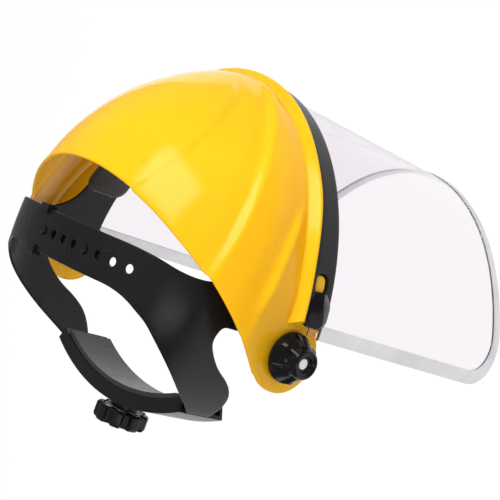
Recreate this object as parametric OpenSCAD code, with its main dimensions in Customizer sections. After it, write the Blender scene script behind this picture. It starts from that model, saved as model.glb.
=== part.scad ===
// Face shield with a moulded crown, a clear visor and an adjustable head harness.
// Worn position: +Z up, the wearer faces -Y, the wearer's left is +X.
// The origin is the middle of the tilt axis, between the two side knobs.

/* [Pivot] */
// Distance from the centre to the outer face of each crown ear
ear_face_x = 120; // [116:0.5:122]
// Radius of each crown ear
ear_r = 22; // [20:0.5:24]
// Radius of the side bolts
bolt_r = 3; // [2.5:0.1:3.5]
// Radial running clearance of turning parts on their shafts
run_gap = 0.05; // [0.02:0.01:0.1]

/* [Crown] */
// Half width of the crown dome
dome_w = 123.7; // [120:0.1:126]
// Front reach of the crown dome from its own centre
dome_d = 148.4; // [144:0.1:152]
// Height of the crown dome
dome_h = 105.8; // [100:0.1:110]
// Wall of the crown moulding
shell_t = 2.6; // [2:0.1:3.2]
// Height of the brow swell over the dome at the front
brow_rise = 4; // [2:0.5:5]
// Height of the raised side panels over the dome
panel_rise = 3; // [1:0.5:4]

/* [Visor] */
// Half width of the visor along its top edge
visor_w = 124; // [122:0.5:126]
// Front reach of the visor along its top edge
visor_d = 146.7; // [144:0.1:150]
// Height of the visor sheet
visor_h = 190; // [170:1:200]
// Thickness of the visor sheet
visor_t = 1; // [0.8:0.1:1.5]
// Radius of the lower corners
corner_r = 32; // [20:1:40]
// Width of the metal edge binding
binding_w = 7.5; // [6:0.5:9]

/* [Harness] */
// Outer radius of the head ring in plan
ring_r = 98; // [95:0.5:99]
// Wall of the harness mouldings
strap_t = 2; // [1.6:0.1:2.4]
// Height of the forehead band
band_h = 26; // [22:1:30]
// Width of the crown strap
strap_w = 26; // [22:1:28]
// Height of the crown strap's top above the pivots
strap_top = 95; // [90:1:96]
// Distance between the holes of the crown strap
hole_pitch = 11; // [10:0.5:12]

/* [Rear adjuster] */
// Height of the adjuster housing
housing_h = 35; // [34:0.5:38]
// Outer radius of the adjuster housing's curve
housing_r = 160; // [158:0.5:162]
// Teeth of the adjuster pinion
pinion_teeth = 12; // [12:1:12]
// Module of the pinion and rack teeth
tooth_m = 1; // [1:0.1:1]
// Diameter of the adjuster dial
dial_d = 35; // [32:0.5:36]

/* [Hidden] */
$fn = 64;

// Crown: the dome's centre, the sloping rear plane y + rear_slope z = rear_y, and the flat of the ears
dome_y = 3;
rear_slope = 1.05;
rear_y = 33;
side_limit = ear_face_x + 0.6;
ear_t = 3.4;
ear_gap = 1.2;
// Azimuths from the front of the crown's rear end and of the ears' front
crown_a = 97;
ear_a = 79;
crown_steps = 11;
// Visor: centre of its top curve, then half width, reach and centre of its lower curve
visor_c = -1;
visor_low_w = 128;
visor_low_d = 185.7;
visor_low_c = 40.8;
// Visor: place of the side edges, length of the lower edge, top and bottom
visor_side_y = -14.5;
sheet_arc = 385;
visor_top = -5;
visor_low = visor_top - visor_h;
// Rim of the crown: the skirt behind the visor and the lip over it
skirt_low = -15.5;
skirt_gap = 0.5;
lip_low = 0.6;
lip_top = 2.2;
lip_front = 6.5;
lip_side = 5;
brow_z = 6.5;
// Harness ring centre and the adjuster housing's inner radius and centre
ring_y = -12;
housing_in_r = housing_r - 9;
housing_y = 72 - housing_r;
dial_y = 77;
// Size of the blocks that trim a wall to one side
big = 300;

function lerp(a, b, t) = a + (b - a) * t;
function smooth(a, b, x) = let(t = min(1, max(0, (x - a) / (b - a)))) t * t * (3 - 2 * t);

// closed skin through a grid of points [row][column], outer rows then inner rows
module skin(outer, inner) {
    n = len(outer);
    m = len(outer[0]);
    pts = [for (g = [outer, inner]) for (row = g) for (p = row) p];
    function o(i, j) = i * m + j;
    function k(i, j) = n * m + i * m + j;
    faces = [
        for (i = [0:n - 2]) for (j = [0:m - 2]) each [
            [o(i, j), o(i + 1, j), o(i + 1, j + 1)], [o(i, j), o(i + 1, j + 1), o(i, j + 1)],
            [k(i, j), k(i + 1, j + 1), k(i + 1, j)], [k(i, j), k(i, j + 1), k(i + 1, j + 1)]
        ],
        for (j = [0:m - 2]) each [
            [o(0, j), o(0, j + 1), k(0, j + 1)], [o(0, j), k(0, j + 1), k(0, j)],
            [o(n - 1, j), k(n - 1, j + 1), o(n - 1, j + 1)], [o(n - 1, j), k(n - 1, j), k(n - 1, j + 1)]
        ],
        for (i = [0:n - 2]) each [
            [o(i, 0), k(i, 0), k(i + 1, 0)], [o(i, 0), k(i + 1, 0), o(i + 1, 0)],
            [o(i, m - 1), k(i + 1, m - 1), k(i, m - 1)], [o(i, m - 1), o(i + 1, m - 1), k(i + 1, m - 1)]
        ]
    ];
    polyhedron(pts, faces);
}

// ---- crown: an ellipsoid cut by a sloping rear plane, with a brow swell and a rim lip ----

// height at which the dome meets the rear plane, at azimuth a from the front
function rear_z(a) =
    let(c = dome_d * cos(a), s = rear_y - dome_y)
    let(q = rear_slope * rear_slope + c * c / (dome_h * dome_h))
    let(root = sqrt(max(0, s * s * rear_slope * rear_slope - q * (s * s - c * c))))
    (s * rear_slope + sign(c) * root) / q;
// height of the ridge along the top of the side panel
function ridge_z(a) = max(brow_z, 0.77 * abs(a) - 1.8);
// rise over the dome: a swell at the front, and a panel that grows from the rim to its ridge
function swell(a, z) =
    brow_rise * (1 - smooth(25, 60, abs(a))) * (1 - smooth(brow_z, 45, z))
    + panel_rise * smooth(0, 0.7, (z - brow_z) / ridge_z(a)) * (1 - smooth(ridge_z(a), ridge_z(a) + 7, z));
function dome_pt(a, z, off) =
    let(r = sqrt(max(0.01, 1 - z * z / (dome_h * dome_h))))
    let(x = (dome_w + off) * r * sin(a), lim = side_limit + min(0, off))
    [sign(x) * min(abs(x), lim), dome_y - (dome_d + off) * r * cos(a), z];
function visor_pt(a, z, off) = [(visor_w + off) * sin(a), visor_c - (visor_d + off) * cos(a), z];
// lower edge of the crown beside the ear
function ear_edge(a) =
    let(y = dome_y - dome_d * cos(a) * 0.985, r = ear_r + ear_gap)
    sqrt(max(4, r * r - y * y));
// 1 over the brow, falling to 0 beside the ears
function crown_fade(a) = 1 - smooth(ear_a - 14, ear_a - 2, abs(a));
// reach of the rim lip past the visor's curve: most at the brow, least beside the ears
function lip_out(a) = lerp(lip_front, lip_side, smooth(20, 50, abs(a)));
// rise of the rim lip and the clamping band towards the ears
function side_lift(a) = 3.2 * smooth(50, 72, abs(a));
// lower rows of the skin as [height, offset, 1 on the visor curve or 0 on the dome]
function crown_row(a) =
    abs(a) > ear_a + 0.1
        ? [for (i = [0:4]) [ear_edge(a) + 0.4 * i, 0, 0]]
        : let(up = side_lift(a), brow = brow_z + up * 0.6)
          [[skirt_low, -skirt_gap, 1], [lip_low + up - 0.1, -skirt_gap, 1],
           [lip_low + up, lip_out(a), 1], [lip_top + up, lip_out(a), 1], [brow, swell(a, brow), 0]];
function crown_outer(a) =
    let(low = crown_row(a), top = rear_z(a), z0 = low[4][0])
    concat(
        [for (q = low) q[2] == 1 ? visor_pt(a, q[0], q[1]) : dome_pt(a, q[0], q[1] * crown_fade(a))],
        [for (i = [1:crown_steps]) let(z = lerp(z0, max(top, z0 + 2), i / crown_steps))
            dome_pt(a, z, swell(a, z) * crown_fade(a))]
    );
function crown_inner(a) =
    let(low = crown_row(a), top = rear_z(a), z0 = low[4][0])
    concat(
        [for (q = low) q[2] == 1 ? visor_pt(a, q[0], -skirt_gap - shell_t) : dome_pt(a, q[0], -shell_t)],
        [for (i = [1:crown_steps]) let(z = lerp(z0, max(top, z0 + 2), i / crown_steps))
            dome_pt(a, z, -shell_t)]
    );
// azimuths of the skin's columns: over one ear, across the front and over the other ear
ear_columns = 8;
front_columns = 40;
function crown_columns() =
    let(near = ear_a + 0.7)
    concat(
        [for (i = [0:ear_columns]) lerp(-crown_a, -near, i / ear_columns)],
        [for (i = [0:front_columns]) lerp(-ear_a, ear_a, i / front_columns)],
        [for (i = [0:ear_columns]) lerp(near, crown_a, i / ear_columns)]
    );
module crown_shell() {
    outer = [for (a = crown_columns()) crown_outer(a)];
    inner = [for (a = crown_columns()) crown_inner(a)];
    color("gold") skin(outer, inner);
}

// turns a shape drawn for the wearer's right (-X) to the asked side
module on_side(side) {
    if (side < 0) children();
    else mirror([1, 0, 0]) children();
}
// cylinder along X from x0 to x1
module x_cyl(x0, x1, r) {
    translate([min(x0, x1), 0, 0]) rotate([0, 90, 0]) cylinder(h = abs(x1 - x0), r = r);
}
module crown_ear(side) {
    color("gold") on_side(side) difference() {
        x_cyl(-ear_face_x, -ear_face_x + ear_t, ear_r);
        x_cyl(-ear_face_x - 1, -ear_face_x + ear_t + 1, sleeve_r + run_gap);
    }
}

// ---- visor, its binding and the band that clamps it ----

// azimuth of a side edge on a curve of reach d about y = c
function side_a(d, c) = acos((c - visor_side_y) / d);
function ellipse_pt(w, d, c, a) = [w * sin(a), c - d * cos(a)];
function ellipse_out(w, d, a) = [d * sin(a), -w * cos(a)];
// point on the visor at side-to-side parameter u from -1 to 1, height z and offset outward
function sheet_pt(u, z, off) =
    let(t = max(0, (skirt_low - z) / (skirt_low - visor_low)))
    let(a0 = u * side_a(visor_d, visor_c), a1 = u * side_a(visor_low_d, visor_low_c))
    let(p = ellipse_pt(visor_w, visor_d, visor_c, a0))
    let(q = ellipse_pt(visor_low_w, visor_low_d, visor_low_c, a1))
    let(v = lerp(ellipse_out(visor_w, visor_d, a0), ellipse_out(visor_low_w, visor_low_d, a1), t))
    let(c = lerp(p, q, t), n = v / norm(v))
    [c[0] + n[0] * off, c[1] + n[1] * off, z];
// lower edge height at u, with rounded corners
function sheet_low(u) =
    let(s = (1 - abs(u)) * sheet_arc / 2)
    s >= corner_r ? visor_low : visor_low + corner_r - sqrt(corner_r * corner_r - pow(corner_r - s, 2));
function sheet_us() = let(c = 2 * corner_r / sheet_arc) concat(
    [for (i = [0:7]) -1 + c * (1 - cos(i * 90 / 8))],
    [for (i = [0:32]) lerp(-1 + c, 1 - c, i / 32)],
    [for (i = [7:-1:0]) 1 - c * (1 - cos(i * 90 / 8))]
);
sheet_rows = 10;
function sheet_grid(off) = [for (u = sheet_us())
    [for (j = [0:sheet_rows]) sheet_pt(u, lerp(sheet_low(u), visor_top, j / sheet_rows), off)]];
module visor_sheet() {
    color([0.85, 0.85, 0.9, 0.4]) skin(sheet_grid(visor_t), sheet_grid(0));
}

binding_gap = 0.3;
binding_wall = 0.5;
// edge path: down one side, along the bottom and up the other side, as [u, z] pairs
function edge_path() = concat(
    [for (i = [0:5]) [-1, lerp(skirt_low - 3, visor_low + corner_r, i / 6)]],
    [for (u = sheet_us()) [u, sheet_low(u)]],
    [for (i = [5:-1:0]) [1, lerp(skirt_low - 3, visor_low + corner_r, i / 6)]]
);
module edge_binding() {
    path = edge_path();
    n = len(path);
    g = binding_gap;
    h = visor_t / 2;
    prof = [[h + g, -binding_w], [h + g + binding_wall, -binding_w], [h + g + binding_wall, 1],
        [-h - g - binding_wall, 1], [-h - g - binding_wall, -binding_w], [-h - g, -binding_w],
        [-h - g, 0.3], [h + g, 0.3]];
    p = [for (q = path) sheet_pt(q[0], q[1], h)];
    nrm = [for (q = path) sheet_pt(q[0], q[1], h + 1) - sheet_pt(q[0], q[1], h)];
    tan = [for (i = [0:n - 1]) let(v = p[min(n - 1, i + 1)] - p[max(0, i - 1)]) v / norm(v)];
    rings = [for (i = [0:n - 1]) let(e = cross(tan[i], nrm[i]))
        [for (q = prof) p[i] + nrm[i] * q[0] + e * q[1]]];
    m = len(prof);
    color("silver") polyhedron(
        [for (r = rings) for (v = r) v],
        [
            for (i = [0:n - 2]) for (j = [0:m - 1]) let(a = i * m + j, b = i * m + (j + 1) % m) each [
                [a, b, b + m], [a, b + m, a + m]],
            [for (j = [m - 1:-1:0]) j],
            [for (j = [0:m - 1]) (n - 1) * m + j]
        ]
    );
}

// columns of a wall that follows the visor's top curve at an outward offset
clamp_columns = 44;
function clamp_wall(off) =
    [for (i = [0:clamp_columns]) let(a = lerp(-band_a, band_a, i / clamp_columns))
        [visor_pt(a, clamp_top + side_lift(a), off), visor_pt(a, clamp_low, off)]];
band_a = 83;
slot_a = 74;
clamp_low = -13.6;
clamp_top = 0.2;
slot_z = -3.8;
band_in = visor_t + 0.3;
band_t = 3;
module retaining_band() {
    color("dimgray") difference() {
        skin(clamp_wall(band_in + band_t), clamp_wall(band_in));
        for (s = [-1, 1])
            translate(visor_pt(s * slot_a, slot_z, 0)) cube([24, 9, 9], center = true);
    }
}

// ---- harness ----

// the strap's arch: a flattened oval that springs from a straight leg, in X and Z
arch_foot = 33;
arch_power = 0.8;
function arch_pt(t, off) =
    let(w = ring_r - off, h = strap_top - arch_foot - off)
    [-sign(cos(t)) * w * pow(abs(cos(t)), arch_power), arch_foot + h * pow(sin(t), arch_power)];
strap_rear = -3;
strap_front = strap_rear - strap_w;
// part of the arch from parameter t0 to t1, between two depths below the outer face
module arch(off, t0, t1, y0, y1) {
    n = 26;
    leg = ring_r - off;
    side = t0 == 0 ? -1 : 1;
    low = [[side * leg, band_h], [side * (leg - strap_t), band_h]];
    pts = concat([for (i = [0:n]) arch_pt(lerp(t0, t1, i / n), off)], side > 0 ? low : [],
        [for (i = [n:-1:0]) arch_pt(lerp(t0, t1, i / n), off + strap_t)], side < 0 ? [low[1], low[0]] : []);
    translate([0, y1, 0]) rotate([90, 0, 0]) linear_extrude(y1 - y0) polygon(pts);
}
// plate where the crown strap widens into the rear arm
plate_rear = 8;
plate_low = 31;
plate_outline = [[strap_rear, plate_low], [strap_rear, 83.6], [plate_rear, 72.6], [plate_rear, plate_low]];
module side_plate(off, t0, t1) {
    intersection() {
        arch(off, t0, t1, strap_rear, plate_rear);
        translate([-big / 2, 0, 0]) rotate([90, 0, 90]) linear_extrude(big) polygon(plate_outline);
    }
}
first_hole_x = -67;
hole_count = 8;
hole_r = 2.6;
// places its children on the arch's outer face at x, with Z along the face normal
module at_arch(x) {
    t = acos(-sign(x) * pow(abs(x) / ring_r, 1 / arch_power));
    p = arch_pt(t, 0);
    d = arch_pt(t + 1, 0) - arch_pt(t - 1, 0);
    translate([p[0], (strap_rear + strap_front) / 2, p[1]]) rotate([0, -atan2(d[1], d[0]), 0]) children();
}
module right_crown_strap() {
    color("dimgray") difference() {
        union() {
            arch(0, 0, 108, strap_front, strap_rear);
            side_plate(0, 0, 70);
        }
        for (i = [0:hole_count - 1])
            at_arch(first_hole_x + i * hole_pitch) translate([0, 0, -6]) cylinder(h = 12, r = hole_r);
    }
}
under_gap = 0.2;
module left_crown_strap() {
    color("dimgray") union() {
        arch(strap_t + under_gap, 62, 180, strap_front, strap_rear);
        side_plate(strap_t + under_gap, 110, 180);
    }
}
peg_holes = [3, 5];
module strap_pegs() {
    peg_h = strap_t + under_gap + 1;
    color("dimgray") for (i = peg_holes)
        at_arch(first_hole_x + i * hole_pitch)
            translate([0, 0, 1 - peg_h]) cylinder(h = peg_h, r = hole_r - 0.2);
}
// upright ring wall of the harness, between two radii
module ring_wall(r0, r1, z0, z1) {
    translate([0, ring_y, z0]) difference() {
        cylinder(h = z1 - z0, r = r1, $fn = 96);
        translate([0, 0, -1]) cylinder(h = z1 - z0 + 2, r = r0, $fn = 96);
    }
}
module front_band() {
    color("dimgray") intersection() {
        ring_wall(ring_r - strap_t, ring_r, 0, band_h);
        translate([-big / 2, strap_rear - big, -big / 2]) cube(big);
    }
}
pad_t = 4;
pad_rear = -46;
pad_over = 3;
module sweatband() {
    pad_out = ring_r - strap_t - 0.1;
    color([0.15, 0.15, 0.15]) intersection() {
        ring_wall(pad_out - pad_t, pad_out, -pad_over, band_h + pad_over);
        translate([-big / 2, pad_rear - big, -big / 2]) cube(big);
    }
}
// slanting outline of a rear arm, seen from the side, in Y and Z
arm_outline = [[plate_rear, 31], [plate_rear, 66], [14, 64], [24, 56], [39, 37], [50, 20], [60, 12], [60, -4],
    [48, -7], [35, -1], [22, 17], [12, 29]];
arm_end_y = 52.6;
module rear_arm(side) {
    color("dimgray") on_side(side) intersection() {
        ring_wall(ring_r - strap_t, ring_r, -20, 70);
        translate([-big, 0, 0]) rotate([90, 0, 90]) linear_extrude(big) polygon(arm_outline);
        translate([-big, arm_end_y - big, -big / 2]) cube(big);
    }
}
lug_r = 11;
lug_in = ring_r + 0.3;
head_x = lug_in + 2.2;
head_r = 5.5;
module pivot_lug(side) {
    color("dimgray") on_side(side) difference() {
        union() {
            x_cyl(-lug_face, -lug_in, lug_r);
            translate([-lug_face, -22, 0]) cube([lug_face - lug_in, 18, band_h]);
        }
        x_cyl(-ring_r - 9, -ring_r + 3, bolt_r);
        x_cyl(-head_x, -ring_r + 3, head_r + 0.1);
    }
}

// ---- pivots: bolt, spacer, washer, knob and its nut ----

sleeve_r = 6;
washer_t = 1.2;
face_gap = 0.1;
lug_face = ring_r + 4.5;
washer_x = ear_face_x + face_gap;
knob_x = washer_x + washer_t + face_gap;
module pivot_bolt(side) {
    color("silver") on_side(side) {
        x_cyl(-head_x, -knob_x - 13, bolt_r);
        x_cyl(-head_x, -lug_in - 0.2, head_r);
    }
}
module spacer(side) {
    color("dimgray") on_side(side) difference() {
        union() {
            x_cyl(-lug_face, -ear_face_x + ear_t + face_gap, 10);
            x_cyl(-lug_face, -washer_x, sleeve_r);
        }
        x_cyl(-lug_face + 1, -washer_x - 1, bolt_r);
    }
}
module washer(side) {
    color("silver") on_side(side) difference() {
        x_cyl(-washer_x, -washer_x - washer_t, 13);
        x_cyl(-washer_x + 1, -knob_x - 1, bolt_r);
    }
}
flange_r = 15;
grip_r = 10.5;
nut_r = 5.4;
module knob_grip(side) {
    color([0.12, 0.12, 0.13]) on_side(side) difference() {
        union() {
            x_cyl(-knob_x, -knob_x - 3, flange_r);
            x_cyl(-knob_x - 3, -knob_x - 8, 12.5);
            translate([-knob_x - 8, 0, 0]) rotate([0, -90, 0]) linear_extrude(8) union() {
                circle(r = grip_r - 1.8);
                for (i = [0:7]) rotate(i * 45) translate([grip_r - 2.2, 0]) circle(r = 2.2);
            }
        }
        x_cyl(-knob_x + 1, -knob_x - 11, nut_r);
        x_cyl(-knob_x - 10, -knob_x - 17, 6.2);
    }
}
module knob_nut(side) {
    color("goldenrod") on_side(side) difference() {
        x_cyl(-knob_x, -knob_x - 9.5, nut_r);
        x_cyl(-knob_x + 1, -knob_x - 11, bolt_r + run_gap);
    }
}

// ---- rear adjuster ----

// curved wall of the housing between two radii, within a half angle
module rear_wall(r0, r1, half, z0, z1) {
    translate([0, housing_y, z0]) rotate([0, 0, 90 - half]) rotate_extrude(angle = 2 * half, $fn = 180)
        translate([r0, 0]) square([r1 - r0, z1 - z0]);
}
// cylinder along Y
module y_cyl(y0, y1, r) {
    translate([0, y1, 0]) rotate([90, 0, 0]) cylinder(h = y1 - y0, r = r);
}
housing_a = 26.5;
base_t = 2.5;
channel_t = 4;
rack_r0 = housing_in_r + base_t + 0.5;
rack_t = 3;
shaft_r = 3;
screw_r = 1.5;
screw_r0 = housing_in_r + 1.5;
screw_head_r0 = housing_r - 1.2;
screw_len = screw_head_r0 - screw_r0;
// places its children at both cover screws, with Z running outward from inside the base
module at_screws() {
    for (s = [-1, 1])
        translate([0, housing_y, 0]) rotate([0, 0, s * 15])
            translate([0, screw_r0, 0]) rotate([-90, 0, 0]) children();
}
module adjuster_base() {
    color("dimgray") difference() {
        union() {
            rear_wall(housing_in_r, housing_in_r + base_t, housing_a, -housing_h / 2, housing_h / 2);
            for (s = [-1, 1])
                rear_wall(housing_in_r + base_t, housing_in_r + base_t + channel_t, housing_a,
                    s * (housing_h / 2 - 1) - 1, s * (housing_h / 2 - 1) + 1);
            intersection() {
                at_screws() cylinder(h = 20, r = 3);
                rear_wall(housing_in_r + 1, housing_in_r + base_t + channel_t, housing_a, -5, 5);
            }
        }
        y_cyl(40, 90, shaft_r + run_gap);
        at_screws() cylinder(h = 20, r = screw_r);
    }
}
module adjuster_cover() {
    color("dimgray") difference() {
        union() {
            rear_wall(housing_in_r + base_t + channel_t, housing_r, housing_a, -housing_h / 2, housing_h / 2);
            y_cyl(housing_y + housing_r - 2, dial_y - 0.3, 9);
        }
        y_cyl(40, 90, shaft_r + run_gap);
        at_screws() cylinder(h = 20, r = screw_r);
        at_screws() translate([0, 0, screw_len]) cylinder(h = 20, r = 3);
    }
}
module nape_pad() {
    half_h = housing_h / 2 - 1;
    color([0.3, 0.3, 0.31]) rear_wall(housing_in_r - 3.1, housing_in_r - 0.1, housing_a - 2, -half_h, half_h);
}
module cover_screws() {
    color("silver") at_screws() {
        cylinder(h = screw_len, r = screw_r);
        translate([0, 0, screw_len]) cylinder(h = housing_r - screw_head_r0, r = 3);
    }
}
// trapezoid tooth for the pinion and the racks
tooth_p = PI * tooth_m;
module tooth(h) {
    polygon([[-0.85, -0.3], [-0.42, h], [0.42, h], [0.85, -0.3]] * tooth_m);
}
pinion_r = tooth_m * pinion_teeth / 2;
rack_y = housing_y + rack_r0;
module drive_pinion() {
    color("ivory") union() {
        translate([0, rack_y + rack_t, 0]) rotate([90, 0, 0]) linear_extrude(rack_t) union() {
            circle(r = pinion_r - 1.1);
            for (i = [0:pinion_teeth - 1])
                rotate(i * 360 / pinion_teeth) translate([0, pinion_r - 1.1]) tooth(1.8);
        }
        difference() {
            y_cyl(rack_y - 2, dial_y + 4, shaft_r);
            y_cyl(dial_y - 2, dial_y + 5, screw_r);
        }
    }
}
// toothed strip above the pinion on the right; the left one is turned over and lies below it
module rack(side) {
    rack_z = pinion_r + 1.1;
    tooth_step = tooth_p / (rack_r0 + rack_t / 2) * 180 / PI;
    turn = side > 0 ? 180 : 0;
    color("dimgray") rotate([0, turn, 0]) {
        translate([0, housing_y, rack_z]) rotate([0, 0, 84]) rotate_extrude(angle = 26, $fn = 180)
            translate([rack_r0, 0]) square([rack_t, 5]);
        for (i = [-1:5])
            translate([0, housing_y, 0]) rotate([0, 0, i * tooth_step])
                translate([tooth_p / 2, rack_r0 + rack_t - 0.2, rack_z]) rotate([90, 180, 0])
                    linear_extrude(rack_t - 0.4) tooth(1.6);
    }
}
module adjuster_dial() {
    color([0.12, 0.12, 0.13]) difference() {
        translate([0, dial_y + 11, 0]) rotate([90, 0, 0]) linear_extrude(11) union() {
            circle(r = dial_d / 2 - 2);
            for (i = [0:7]) rotate(i * 45) translate([dial_d / 2 - 4.6, 0]) circle(r = 4.6);
        }
        y_cyl(dial_y - 1, dial_y + 4, shaft_r);
        y_cyl(dial_y + 3, dial_y + 6, 1.6);
        y_cyl(dial_y + 5, dial_y + 12, 4);
        difference() {
            y_cyl(dial_y - 1, dial_y + 2, dial_d / 2 - 4);
            y_cyl(dial_y - 2, dial_y + 3, 6);
        }
    }
}
module pawl_disc() {
    color("ivory") difference() {
        y_cyl(dial_y + 0.2, dial_y + 1.6, dial_d / 2 - 5);
        y_cyl(dial_y - 1, dial_y + 3, 6.1);
    }
}
module dial_screw() {
    color("silver") {
        y_cyl(dial_y + 5, dial_y + 7, 3);
        y_cyl(dial_y - 2, dial_y + 5, screw_r);
    }
}

crown_shell();
crown_ear(-1);  // right_crown_ear
crown_ear(1);  // left_crown_ear
visor_sheet();
edge_binding();
retaining_band();
front_band();
sweatband();
right_crown_strap();
left_crown_strap();
strap_pegs();
rear_arm(-1);  // right_rear_arm
rear_arm(1);  // left_rear_arm
pivot_lug(-1);  // right_pivot_lug
pivot_lug(1);  // left_pivot_lug
pivot_bolt(-1);  // right_pivot_bolt
pivot_bolt(1);  // left_pivot_bolt
spacer(-1);  // right_spacer
spacer(1);  // left_spacer
washer(-1);  // right_washer
washer(1);  // left_washer
knob_grip(-1);  // right_knob_grip
knob_grip(1);  // left_knob_grip
knob_nut(-1);  // right_knob_nut
knob_nut(1);  // left_knob_nut
adjuster_cover();
adjuster_base();
nape_pad();
cover_screws();
adjuster_dial();
drive_pinion();
dial_screw();
pawl_disc();
rack(-1);  // right_rack
rack(1);  // left_rack
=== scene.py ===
import math

import bmesh
import bpy
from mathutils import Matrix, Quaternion, Vector
from mathutils.geometry import delaunay_2d_cdt


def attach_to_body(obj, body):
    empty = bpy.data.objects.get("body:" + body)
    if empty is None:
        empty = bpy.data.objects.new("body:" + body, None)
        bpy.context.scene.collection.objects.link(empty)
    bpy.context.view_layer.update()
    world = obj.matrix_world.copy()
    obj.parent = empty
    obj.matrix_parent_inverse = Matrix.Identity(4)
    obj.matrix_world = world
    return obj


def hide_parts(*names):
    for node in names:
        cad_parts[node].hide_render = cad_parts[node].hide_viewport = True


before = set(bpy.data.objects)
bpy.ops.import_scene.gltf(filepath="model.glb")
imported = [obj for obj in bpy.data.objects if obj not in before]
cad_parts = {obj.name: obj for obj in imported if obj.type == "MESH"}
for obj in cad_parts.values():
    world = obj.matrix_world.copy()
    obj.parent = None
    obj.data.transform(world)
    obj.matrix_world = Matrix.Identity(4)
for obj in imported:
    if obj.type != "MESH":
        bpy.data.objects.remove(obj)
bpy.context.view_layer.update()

MM = 0.001

# ---- dimensions shared with the CAD model ----

# crown: half width, depth and height of the dome, the plane that cuts its rear, shell and ears
DOME_W, DOME_D, DOME_H, DOME_Y = 123.7, 148.4, 105.8, 3
REAR_Y, REAR_SLOPE = 33, 1.05
SHELL_T = 2.6
EAR_X, EAR_R, RIM_A = 120, 22, 82
EAR_FRONT_Y, EAR_REAR_Y = -15.5, 15.72
SLEEVE_R = 6
BROW_RISE, PANEL_RISE, BROW_Z = 4, 3, 6.5
# visor: plan ellipse at its top and at its bottom, then heights, thickness and flat size
VISOR_W, VISOR_D, VISOR_C = 124, 146.7, -1
LOW_W, LOW_D, LOW_C = 128, 185.7, 40.8
VISOR_SIDE_Y = -14.5
VISOR_TOP, VISOR_LOW, VISOR_T = -5, -195, 1
CORNER_R, SHEET_ARC = 32, 385
SKIRT_LOW, SKIRT_GAP = -15.5, 0.5
# retaining band with its slots, and the crown's lip above it; angles are from the front
BAND_A, BAND_OUT, BAND_T, BAND_LOW, BAND_TOP = 83, 4.3, 3, -13.6, 0.2
SLOT_A, SLOT_Z, SLOT_HALF, SLOT_FORE, SLOT_AFT = 74, -3.6, 4.6, 7, 4
BAND_SCALE = 136 * math.pi / 180
LIP_LOW, LIP_TOP, LIP_FRONT, LIP_SIDE = 0.6, 2.2, 6.5, 5
# harness: ring round the head, crown strap and its arch
RING_R, RING_Y = 98, -12
STRAP_T, UNDER_GAP, BAND_H = 2, 0.2, 26
STRAP_FRONT, STRAP_REAR, STRAP_TOP = -29, -3, 95
ARCH_FOOT, ARCH_POWER = 33, 0.8
# rear adjuster and side knobs
HOUSING_R = 160
HOUSING_Y = 72 - HOUSING_R
KNOB_X = EAR_X + 1.4
DIAL_Y, SCREW_A = 77, 15


# ---- small maths ----

def lerp(a, b, t):
    return a + (b - a) * t


def smooth(a, b, x):
    t = min(1, max(0, (x - a) / (b - a)))
    return t * t * (3 - 2 * t)


def sind(a):
    return math.sin(math.radians(a))


def cosd(a):
    return math.cos(math.radians(a))


def spread(a, b, n):
    """n + 1 values from a to b."""
    return [lerp(a, b, i / n) for i in range(n + 1)]


def rounded(points, radius, steps=4, closed=False):
    """A path with each corner replaced by a short curve; radius is one number or one for each point."""
    points = [Vector(p) for p in points]
    n = len(points)
    radii = radius if isinstance(radius, list) else [radius] * n
    path = []
    for i, p in enumerate(points):
        if not closed and i in (0, n - 1):
            path.append(p)
            continue
        before, after = points[i - 1] - p, points[(i + 1) % n] - p
        reach_in = min(radii[i], before.length * 0.49)
        reach_out = min(radii[i], after.length * 0.49)
        a, b = p + before.normalized() * reach_in, p + after.normalized() * reach_out
        if radii[i] <= 0:
            path.append(p)
            continue
        for t in spread(0, 1, steps):
            path.append(a.lerp(p, t).lerp(p.lerp(b, t), t))
    return path


def resampled(loop, pitch):
    """A closed loop with points at most pitch apart, its corners kept."""
    out = []
    for i, p in enumerate(loop):
        q = loop[(i + 1) % len(loop)]
        n = max(1, math.ceil((q - p).length / pitch - 1e-6))
        out += [p.lerp(q, k / n) for k in range(n)]
    return [p for i, p in enumerate(out) if (p - out[i - 1]).length > pitch * 0.02]


def circle_loop(x, y, r, n=24):
    return [Vector((x + r * cosd(360 * i / n), y + r * sind(360 * i / n))) for i in range(n)]


def inside(p, loops):
    """True if p is inside an odd number of the loops."""
    hit = False
    for loop in loops:
        for a, b in zip(loop, loop[1:] + loop[:1]):
            if (a.y > p.y) != (b.y > p.y) and p.x < (b.x - a.x) * (p.y - a.y) / (b.y - a.y) + a.x:
                hit = not hit
    return hit


# ---- mesh builders ----

def new_object(name, verts, faces, material):
    mesh = bpy.data.meshes.new(name)
    mesh.from_pydata([tuple(c * MM for c in v) for v in verts], [], faces)
    work = bmesh.new()
    work.from_mesh(mesh)
    bmesh.ops.remove_doubles(work, verts=work.verts, dist=1e-7)
    bmesh.ops.recalc_face_normals(work, faces=work.faces)
    work.to_mesh(mesh)
    work.free()
    mesh.materials.append(material)
    for face in mesh.polygons:
        face.use_smooth = True
    mesh.set_sharp_from_angle(angle=math.radians(40))
    obj = bpy.data.objects.new(name, mesh)
    bpy.context.scene.collection.objects.link(obj)
    return obj


def attach(obj, body, slot, *nodes):
    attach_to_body(obj, body)
    if nodes:
        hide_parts(*nodes)
    return obj


def soften(obj, width):
    """Rounds the sharp edges of a CAD node, without moving its faces."""
    bevel = obj.modifiers.new("soften", "BEVEL")
    bevel.width = width * MM
    bevel.segments = 2
    bevel.limit_method = "ANGLE"
    bevel.angle_limit = math.radians(30)
    bevel.harden_normals = True


def ring_faces(rows, n):
    """Quads between rows of n points, each row a closed ring."""
    faces = []
    for i in range(rows - 1):
        a, b = i * n, (i + 1) * n
        faces += [(a + j, a + (j + 1) % n, b + (j + 1) % n, b + j) for j in range(n)]
    return faces


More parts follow.
